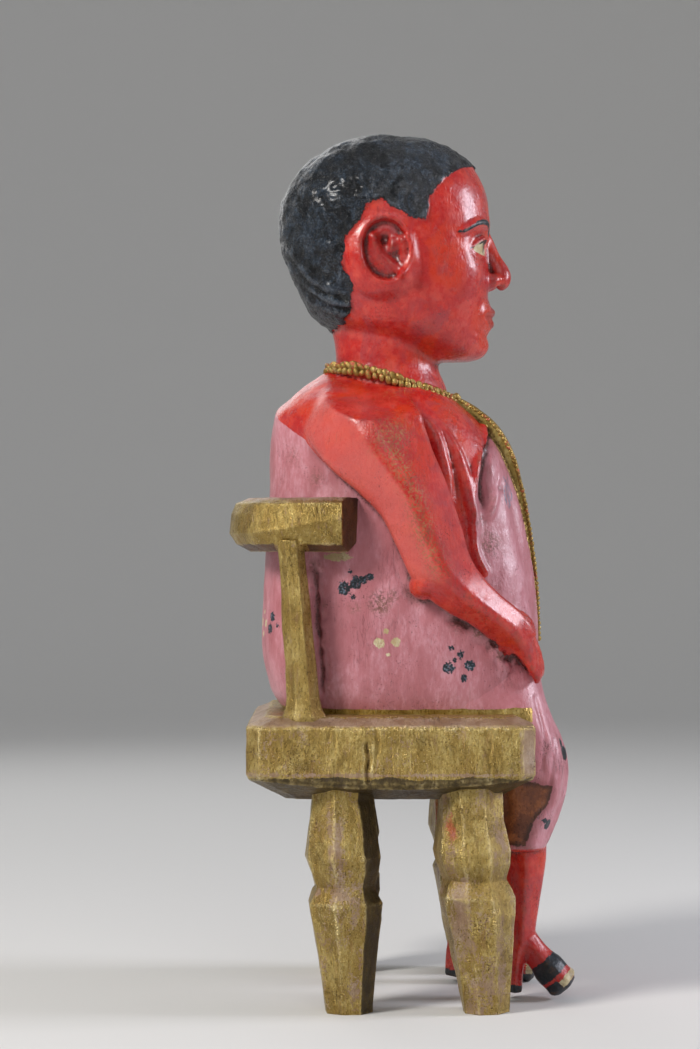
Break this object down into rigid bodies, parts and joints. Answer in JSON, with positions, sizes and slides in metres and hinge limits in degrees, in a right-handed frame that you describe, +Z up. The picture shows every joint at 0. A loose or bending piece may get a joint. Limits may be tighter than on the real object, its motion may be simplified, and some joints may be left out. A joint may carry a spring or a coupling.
{
  "type": "colon statue",
  "caption": "Seated colon figure in a wrapped cloth on a chair with a curved back rail, carved from one block of wood and painted.",
  "frame": {"origin": "on the ground, under the middle of the statue's outline", "axes": "+Z up, the figure faces -Y, and its right hand is at -X"},
  "size_m": [0.1028, 0.1194, 0.3004],
  "materials": {
    "painted_wood": "old gloss paint: red skin, pink cloth, blue-black hair and gilt chair, worn at the edges"
  },
  "bodies": {
    "root": {"statue": "painted_wood"}
  },
  "joints": []
}
